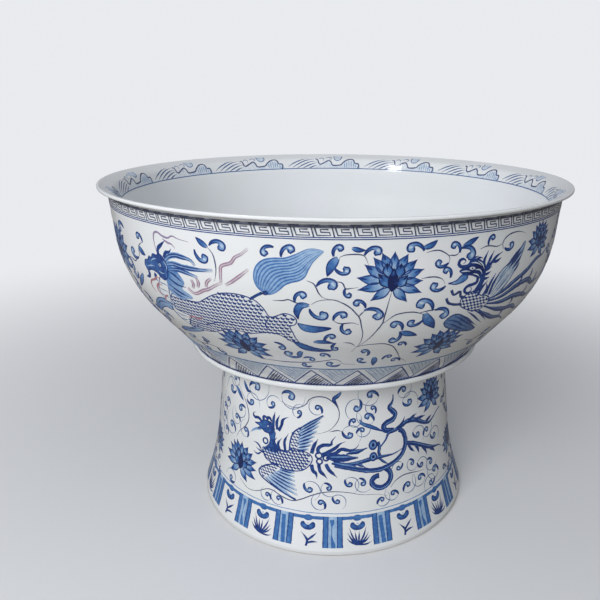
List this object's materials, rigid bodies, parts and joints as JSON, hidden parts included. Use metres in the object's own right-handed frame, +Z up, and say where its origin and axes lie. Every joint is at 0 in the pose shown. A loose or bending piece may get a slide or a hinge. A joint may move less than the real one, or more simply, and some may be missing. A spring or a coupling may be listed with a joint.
{
  "type": "porcelain bowl planter on pedestal",
  "caption": "Wide porcelain bowl with an everted lip and a plugged drain hole, standing loose on a cushioning ring on a hollow drum pedestal that flares to its foot.",
  "frame": {"origin": "on the floor, at the centre of the pedestal's foot", "axes": "+Z up along the axis of the bowl and the pedestal, -Y towards the side that the picture shows"},
  "size_m": [0.6, 0.5998, 0.4528],
  "materials": {
    "pedestal_porcelain": "clear gloss glaze over cobalt blue brushwork",
    "seat_rubber": "matte",
    "bowl_porcelain": "clear gloss glaze over cobalt blue brushwork",
    "plug_rubber": "satin"
  },
  "bodies": {
    "pedestal": {"pedestal": "pedestal_porcelain"},
    "seat_ring": {"seat_ring": "seat_rubber"},
    "bowl": {"bowl": "bowl_porcelain"},
    "drain_plug": {"drain_plug": "plug_rubber"}
  },
  "joints": [
    {"name": "bowl_turn", "type": "hinge", "parent": "pedestal", "child": "seat_ring", "pos_m": [0, 0, 0.238], "axis": [0, 0, 1], "continuous": true},
    {"name": "bowl_lift", "type": "slide", "parent": "seat_ring", "child": "bowl", "axis": [0, 0, 1], "range_m": [0, 0.3]},
    {"name": "plug_pull", "type": "slide", "parent": "bowl", "child": "drain_plug", "axis": [0, 0, 1], "range_m": [0, 0.25]}
  ]
}
